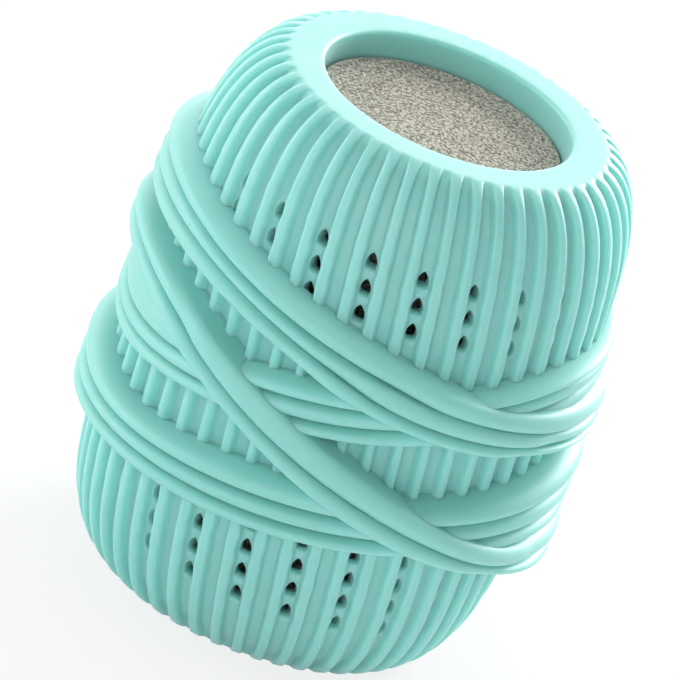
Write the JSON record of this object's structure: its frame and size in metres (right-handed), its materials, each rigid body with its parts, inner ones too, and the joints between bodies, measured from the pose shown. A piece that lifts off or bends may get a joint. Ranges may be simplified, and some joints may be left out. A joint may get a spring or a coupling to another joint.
{
  "type": "laundry ball",
  "caption": "Barrel-shaped ribbed laundry ball with cord wraps round its waist and a sponge core that pulls out of its mouth.",
  "frame": {"origin": "on the barrel's axis, at the level of the flat ring that the ball stands on", "axes": "+Z along the barrel's axis towards the mouth that the sponge draws out of, -Y towards the side that the picture shows"},
  "size_m": [0.0698, 0.0721, 0.075],
  "materials": {
    "mint_elastomer": "satin moulded elastomer",
    "cord_elastomer": "satin smooth elastomer",
    "sponge_foam": "fine open cell foam"
  },
  "bodies": {
    "shell": {"barrel_shell": "mint_elastomer", "middle_wrap": "cord_elastomer", "lower_wrap": "cord_elastomer", "upper_wrap": "cord_elastomer", "diagonal_wrap": "cord_elastomer"},
    "sponge": {"sponge_core": "sponge_foam"}
  },
  "joints": [
    {"name": "sponge_pull_out", "type": "slide", "parent": "shell", "child": "sponge", "axis": [0, 0, 1], "range_m": [0, 0.075]}
  ]
}
